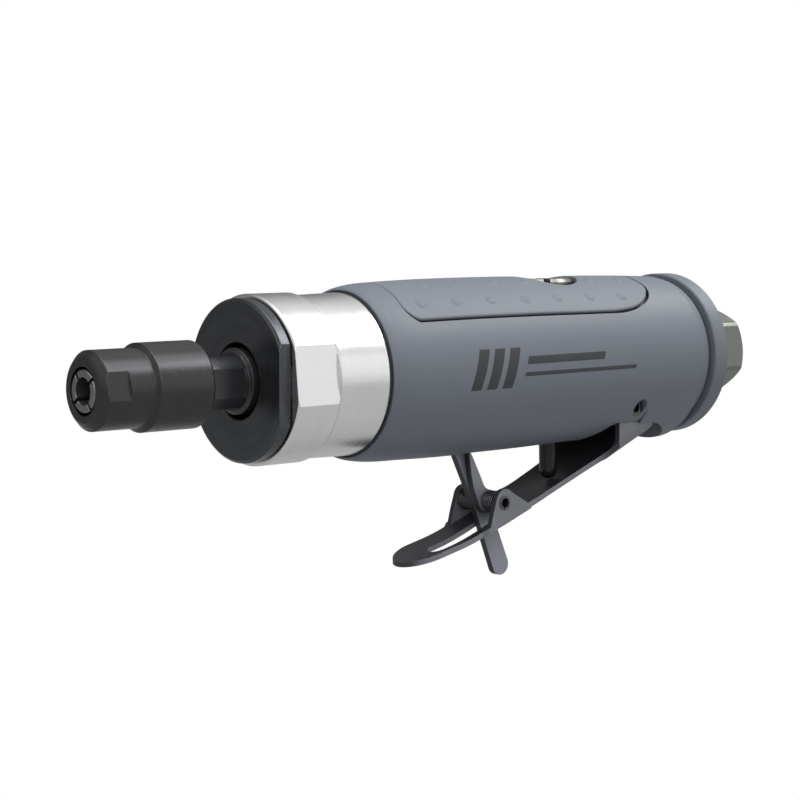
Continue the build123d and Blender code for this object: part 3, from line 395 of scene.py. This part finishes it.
# ------------------------------------------------------------------ mesh helpers
def spline(x, table):
    """Catmull-Rom through the table's (x, value) points."""
    xs = [point[0] for point in table]
    i = min(max(bisect_left(xs, x) - 1, 0), len(xs) - 2)
    p0 = table[max(i - 1, 0)][1]
    p1, p2 = table[i][1], table[i + 1][1]
    p3 = table[min(i + 2, len(xs) - 1)][1]
    t = (x - xs[i]) / (xs[i + 1] - xs[i])
    return 0.5 * (2 * p1 + (p2 - p0) * t + (2 * p0 - 5 * p1 + 4 * p2 - p3) * t * t
                  + (3 * p1 - p0 - 3 * p2 + p3) * t ** 3)


def add_slab(bm, top, low):
    """Close two matching grids of vertices into a slab."""
    rows, cols = len(top) - 1, len(top[0]) - 1
    for i in range(rows):
        for j in range(cols):
            bm.faces.new((top[i][j], top[i + 1][j], top[i + 1][j + 1], top[i][j + 1]))
            bm.faces.new((low[i][j], low[i][j + 1], low[i + 1][j + 1], low[i + 1][j]))
    for i in range(rows):
        bm.faces.new((top[i][0], low[i][0], low[i + 1][0], top[i + 1][0]))
        bm.faces.new((top[i][cols], top[i + 1][cols], low[i + 1][cols], low[i][cols]))
    for j in range(cols):
        bm.faces.new((top[0][j], top[0][j + 1], low[0][j + 1], low[0][j]))
        bm.faces.new((top[rows][j], low[rows][j], low[rows][j + 1], top[rows][j + 1]))


def add_tube(bm, rings):
    """Skin a run of vertex rings and cap both ends."""
    count = len(rings[0])
    for a, b in zip(rings, rings[1:]):
        for k in range(count):
            bm.faces.new((a[k], a[(k + 1) % count], b[(k + 1) % count], b[k]))
    bm.faces.new(list(reversed(rings[0])))
    bm.faces.new(rings[-1])


def link_object(name, data):
    ob = bpy.data.objects.new(name, data)
    bpy.context.scene.collection.objects.link(ob)
    return ob


def closed_object(name, bm):
    bmesh.ops.recalc_face_normals(bm, faces=bm.faces)
    mesh = bpy.data.meshes.new(name)
    bm.to_mesh(mesh)
    bm.free()
    return link_object(name, mesh)


def smooth(mesh, sharp_degrees=None):
    for polygon in mesh.polygons:
        polygon.use_smooth = True
    if sharp_degrees is not None:
        mesh.set_sharp_from_angle(angle=math.radians(sharp_degrees))


# ------------------------------------------------------------------ soft top pad
# All in mm and degrees. Angles are about the X axis, from the top, positive toward -Y.
PAD_RADIUS = [                              # (x, radius)
    (80.0, 22.2), (86.0, 22.4), (98.0, 22.7), (113.0, 22.8),
    (128.0, 22.75), (140.0, 22.55), (158.0, 22.4), (171.5, 22.15),
]
PAD_FRONT, PAD_REAR = 80.5, 170.95
PAD_HALF = 53.95                            # half angle along the straight sides
MM_PER_DEGREE = math.pi / 180 * 22.45       # arc length on the pad
FRONT_CORNER_LENGTH, FRONT_CORNER_DEPTH = 4.5, 5.5
REAR_TAPER_X = 150.0
REAR_HALF = [                               # (x, half angle)
    (146.0, PAD_HALF), (REAR_TAPER_X, PAD_HALF), (153.0, 53.7), (159.2, 51.8), (163.4, 48.3),
    (167.2, 42.3), (169.6, 35.8), (170.6, 30.1), (170.95, 24.5),
]
PAD_ROWS, PAD_COLUMNS = 300, 150
PAD_LIFT, PAD_DEPTH = 0.06, 1.35            # outer face above, inner face below PAD_RADIUS
RIM_WIDTH, RIM_DROP = 0.7, 0.55             # rounding around the outline
BOW, BOW_HALF, BOW_LENGTH = 0.75, 40.0, 8.0   # rearward bow of the front end

BUMP_ROWS = [                               # (angle either side, x stations)
    (41.0, (86.7, 98.0, 109.7, 121.5, 133.3, 145.5, 157.6)),
    (20.0, (93.3, 104.9, 116.8, 128.4, 152.6, 164.2)),
]
BUMPS = [(x, side * angle) for angle, stations in BUMP_ROWS for x in stations
         for side in (1, -1)]
BUMP_RADIUS, BUMP_HEIGHT, BUMP_POWER = 1.55, 0.34, 1.3
GROOVE_RADIUS, GROOVE_SPREAD, GROOVE_DEPTH = 1.72, 0.22, 0.10   # groove around each bump
GROOVE_REACH = 2.2

WINDOW_RINGS = [                            # (z, radius) of the hole over the regulator
    (10.0, 10.0), (21.75, 10.0), (22.25, 10.12), (22.62, 10.5), (30.0, 11.2),
]
WINDOW_SEGMENTS = 96


def round_drop(t):
    """Quarter-circle fall from 0 at t = 0 to 1 at t = 1."""
    return 1 - math.sqrt(max(0.0, 1 - t * t))


def eased_fraction(i, count, eased):
    """Even spacing blended with a cosine ease that crowds points toward both ends."""
    ease = 0.5 - 0.5 * math.cos(math.pi * (i / count))
    return (1 - eased) * i / count + eased * ease


def pad_half_angle(x):
    corner_end = PAD_FRONT + FRONT_CORNER_LENGTH
    if x < corner_end:
        drop = round_drop((corner_end - x) / FRONT_CORNER_LENGTH)
        return PAD_HALF - FRONT_CORNER_DEPTH * drop / MM_PER_DEGREE
    if x > REAR_TAPER_X:
        return spline(x, REAR_HALF)
    return PAD_HALF


def pad_radius(x, angle, half):
    """Radius of the outer face, with its rounded rim and bumps."""
    radius = spline(x, PAD_RADIUS) + PAD_LIFT
    rim = min((half - abs(angle)) * MM_PER_DEGREE, x - PAD_FRONT, PAD_REAR - x)
    if rim < RIM_WIDTH:
        radius -= RIM_DROP * round_drop(1 - rim / RIM_WIDTH)
    for bump_x, bump_angle in BUMPS:
        away = math.hypot(x - bump_x, (angle - bump_angle) * MM_PER_DEGREE)
        if away < BUMP_RADIUS:
            radius += BUMP_HEIGHT * (1 - (away / BUMP_RADIUS) ** 2) ** BUMP_POWER
        if away < GROOVE_REACH:
            radius -= GROOVE_DEPTH * math.exp(-((away - GROOVE_RADIUS) / GROOVE_SPREAD) ** 2)
    return radius


def pad_grid():
    """Rows of (x, angle, outer radius)."""
    grid = []
    for i in range(PAD_ROWS + 1):
        x = PAD_FRONT + (PAD_REAR - PAD_FRONT) * eased_fraction(i, PAD_ROWS, eased=0.25)
        half = pad_half_angle(x)
        row = []
        for j in range(PAD_COLUMNS + 1):
            angle = half * (-1 + 2 * eased_fraction(j, PAD_COLUMNS, eased=0.3))
            bow = (BOW * max(0.0, 1 - (angle / BOW_HALF) ** 2)
                   * max(0.0, 1 - (x - PAD_FRONT) / BOW_LENGTH))
            row.append((x + bow, angle, pad_radius(x, angle, half)))
        grid.append(row)
    return grid


def make_window_tool():
    bm = bmesh.new()
    turns = [2 * math.pi * k / WINDOW_SEGMENTS for k in range(WINDOW_SEGMENTS)]
    rings = [[bm.verts.new(((REGULATOR_X + radius * math.cos(turn)) * MM,
                            radius * math.sin(turn) * MM, z * MM)) for turn in turns]
             for z, radius in WINDOW_RINGS]
    add_tube(bm, rings)
    return closed_object("window_tool", bm)


def make_pad():
    bm = bmesh.new()

    def vertex(x, angle, radius):
        turn = math.radians(angle)
        return bm.verts.new((x * MM, -radius * math.sin(turn) * MM, radius * math.cos(turn) * MM))

    grid = pad_grid()
    top = [[vertex(x, angle, radius) for x, angle, radius in row] for row in grid]
    low = [[vertex(x, angle, spline(x, PAD_RADIUS) - PAD_DEPTH) for x, angle, _ in row]
           for row in grid]
    add_slab(bm, top, low)
    ob = closed_object("grip_pad_soft", bm)

    tool = make_window_tool()
    window = ob.modifiers.new("window", "BOOLEAN")
    window.operation = "DIFFERENCE"
    window.object = tool
    window.solver = "EXACT"
    depsgraph = bpy.context.evaluated_depsgraph_get()
    cut_mesh = bpy.data.meshes.new_from_object(ob.evaluated_get(depsgraph))
    ob.modifiers.clear()
    ob.data = cut_mesh
    bpy.data.objects.remove(tool)
    smooth(cut_mesh, sharp_degrees=50)
    cut_mesh.materials.clear()
    cut_mesh.materials.append(mats["pad"])
    return ob


pad = make_pad()
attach(pad, "housing")
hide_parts("grip_pad")


# ------------------------------------------------------------------ valve spring
SPRING_BASE, SPRING_HEIGHT = 2.32, 5.95     # z of the lower end and rise, mm
SPRING_RADIUS, WIRE_RADIUS = 1.9, 0.25      # mm
SPRING_TURNS = 5.0
SPRING_STEPS, WIRE_SEGMENTS = 260, 14


def make_valve_spring():
    """Helix about the upright throttle axis."""
    bm = bmesh.new()
    rise = SPRING_HEIGHT / (2 * math.pi * SPRING_TURNS * SPRING_RADIUS)
    wire_turns = [2 * math.pi * j / WIRE_SEGMENTS for j in range(WIRE_SEGMENTS)]
    rings = []
    for i in range(SPRING_STEPS + 1):
        turn = 2 * math.pi * SPRING_TURNS * i / SPRING_STEPS
        center = Vector((THROTTLE_X / MM + SPRING_RADIUS * math.cos(turn),
                         SPRING_RADIUS * math.sin(turn),
                         SPRING_BASE + SPRING_HEIGHT * i / SPRING_STEPS))
        out = Vector((math.cos(turn), math.sin(turn), 0.0))
        tangent = Vector((-math.sin(turn), math.cos(turn), rise)).normalized()
        side = tangent.cross(out).normalized()
        rings.append([bm.verts.new((center + out * (WIRE_RADIUS * math.cos(b))
                                    + side * (WIRE_RADIUS * math.sin(b))) * MM)
                      for b in wire_turns])
    add_tube(bm, rings)
    ob = closed_object("valve_spring_coil", bm)
    smooth(ob.data)
    ob.data.materials.append(mats["wire"])
    return ob


coil = make_valve_spring()
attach(coil, "housing")
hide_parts("valve_spring")
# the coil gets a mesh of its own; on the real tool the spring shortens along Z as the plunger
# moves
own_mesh(coil)


# ------------------------------------------------------------------ graphic on the -Y side
GRIP_RADIUS = [                             # (x, radius), mm
    (74.2, 21.4), (80.0, 22.2), (92.0, 22.6), (113.0, 22.8),
    (128.0, 22.75), (140.0, 22.6), (158.0, 22.4), (170.0, 22.2),
]
BAR_X, BAR_PITCH, BAR_WIDTH = 96.0, 5.2, 3.4
# Leaning strips in mm: (front x, length in x, low z, height, rearward lean of the top edge)
STRIPS = [(BAR_X + BAR_PITCH * k, BAR_WIDTH, -4.6, 10.0, 3.2) for k in range(3)]
STRIPS += [(114.0, 41.0, -1.9, 1.0, 0.3), (114.9, 28.1, 1.1, 2.0, 0.6)]
STRIP_COLUMNS, STRIP_ROWS = 24, 10
STRIP_LIFT, STRIP_SINK = 0.05, 0.25         # outer face above, inner face below the shell
STRIP_RIM_DROP = 0.03                       # the outer face is lower along its outline


def make_graphic():
    """Three slanted bars and two long strips that follow the curve of the grip."""
    ink = graphic_ink()
    shell = NODES["grip_housing"].data
    tree = BVHTree.FromPolygons([v.co.copy() for v in shell.vertices],
                                [tuple(p.vertices) for p in shell.polygons])

    def shell_radius(x, z):
        """Radius of the shell, met from outside on the -Y side; the table serves any gap."""
        hit = tree.ray_cast(Vector((x * MM, -0.06, z * MM)), Vector((0, 1, 0)))[0]
        if hit is None:
            return spline(x, GRIP_RADIUS)
        return math.hypot(hit.y, z * MM) / MM

    bm = bmesh.new()

    def strip_layer(strip, lift, rim_drop):
        front, length, bottom, height, lean = strip
        rows = []
        for i in range(STRIP_COLUMNS + 1):
            row = []
            for j in range(STRIP_ROWS + 1):
                u, v = i / STRIP_COLUMNS, j / STRIP_ROWS
                x = front + u * length + v * lean
                z = bottom + v * height
                on_rim = i in (0, STRIP_COLUMNS) or j in (0, STRIP_ROWS)
                radius = shell_radius(x, z) + lift - (rim_drop if on_rim else 0.0)
                y = -math.sqrt(radius * radius - z * z)
                row.append(bm.verts.new((x * MM, y * MM, z * MM)))
            rows.append(row)
        return rows

    for strip in STRIPS:
        top = strip_layer(strip, lift=STRIP_LIFT, rim_drop=STRIP_RIM_DROP)
        low = strip_layer(strip, lift=-STRIP_SINK, rim_drop=0.0)
        add_slab(bm, top, low)
    ob = closed_object("side_graphic", bm)
    smooth(ob.data, sharp_degrees=40)
    ob.data.materials.append(ink)
    return ob


mark = make_graphic()
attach(mark, "housing")


# ------------------------------------------------------------------ floor
FLOOR_HALF, FLOOR_Z = 6.0, -0.120           # m
WHITE = (1, 1, 1)


def stage_white():
    """Pure white to the camera, softer to other rays, clear from underneath."""
    material = bpy.data.materials.new("stage_white")
    s = Nodes(material)

    def emission(strength):
        inputs = {"Color": WHITE, "Strength": strength}
        return s.node("ShaderNodeEmission", inputs).outputs[0]

    diffuse = s.node("ShaderNodeBsdfDiffuse", {"Color": (0.55, 0.55, 0.55)}).outputs[0]
    lit = s.mix_shader(0.40, emission(0.30), diffuse)
    camera_ray = s.node("ShaderNodeLightPath").outputs["Is Camera Ray"]
    above = s.mix_shader(camera_ray, lit, emission(1.0))
    behind = s.node("ShaderNodeNewGeometry").outputs["Backfacing"]
    clear = s.node("ShaderNodeBsdfTransparent").outputs[0]
    s.node("ShaderNodeOutputMaterial", {"Surface": s.mix_shader(behind, above, clear)})
    return material


def make_floor():
    bm = bmesh.new()
    corners = ((-1, -1), (1, -1), (1, 1), (-1, 1))
    bm.faces.new([bm.verts.new((x * FLOOR_HALF, y * FLOOR_HALF, FLOOR_Z)) for x, y in corners])
    mesh = bpy.data.meshes.new("floor")
    bm.to_mesh(mesh)
    bm.free()
    return link_object("floor", mesh)


floor = make_floor()
floor.data.materials.append(stage_white())


# ------------------------------------------------------------------ world and lights
def make_world():
    """White to the camera; other rays see light that falls off downward and toward +Y."""
    world = bpy.data.worlds.new("studio")
    bpy.context.scene.world = world
    s = Nodes(world)
    direction = s.split(s.node("ShaderNodeTexCoord").outputs["Generated"])
    height = s.ramp(direction[2], lo=-0.6, hi=0.9, start=0.45, end=1.25)
    back = s.ramp(direction[1], lo=0.35, hi=0.80, start=1.0, end=0.25)
    studio = s.node("ShaderNodeBackground", {"Color": s.mul(height, back), "Strength": 0.62})
    white = s.node("ShaderNodeBackground", {"Color": WHITE, "Strength": 1.0})
    camera_ray = s.node("ShaderNodeLightPath").outputs["Is Camera Ray"]
    seen = s.mix_shader(camera_ray, studio.outputs[0], white.outputs[0])
    s.node("ShaderNodeOutputWorld", {0: seen})


LIGHT_TARGET = Vector((0.105, 0.0, 0.0))    # mid length of the tool, m


def softbox(name, place, size, watts):
    """Rectangular area light aimed at the tool."""
    light = bpy.data.lights.new(name, "AREA")
    light.shape = "RECTANGLE"
    light.size, light.size_y = size
    light.energy = watts
    ob = link_object(name, light)
    ob.location = place
    ob.rotation_euler = (LIGHT_TARGET - Vector(place)).to_track_quat("-Z", "Y").to_euler()


make_world()
softbox("top_box", place=(0.05, -0.15, 0.75), size=(0.9, 0.5), watts=4.5)
softbox("key_box", place=(-0.35, -0.75, 0.45), size=(0.5, 0.5), watts=2.4)
softbox("fill_box", place=(0.68, -0.70, 0.06), size=(0.6, 0.7), watts=0.62)
softbox("strip_box", place=(0.82, -0.26, 0.74), size=(0.7, 0.28), watts=5.0)


# ------------------------------------------------------------------ camera
CAMERA_PLACE = Vector((-0.223958, -0.372297, 0.029300))
CAMERA_LOOK = Vector((0.64526, 0.76025, -0.07526)).normalized()
CAMERA_RIGHT = Vector((0.76149, -0.64796, -0.01663)).normalized()


def make_camera():
    data = bpy.data.cameras.new("camera")
    data.sensor_width = 36.0                # mm
    data.lens = 87.39                       # mm
    ob = link_object("camera", data)
    up = CAMERA_RIGHT.cross(CAMERA_LOOK).normalized()
    turn = Matrix((CAMERA_RIGHT, up, -CAMERA_LOOK)).transposed()
    ob.matrix_world = Matrix.Translation(CAMERA_PLACE) @ turn.to_4x4()
    bpy.context.scene.camera = ob


make_camera()
bpy.context.scene.view_settings.view_transform = "Standard"
bpy.context.scene.view_settings.look = "None"
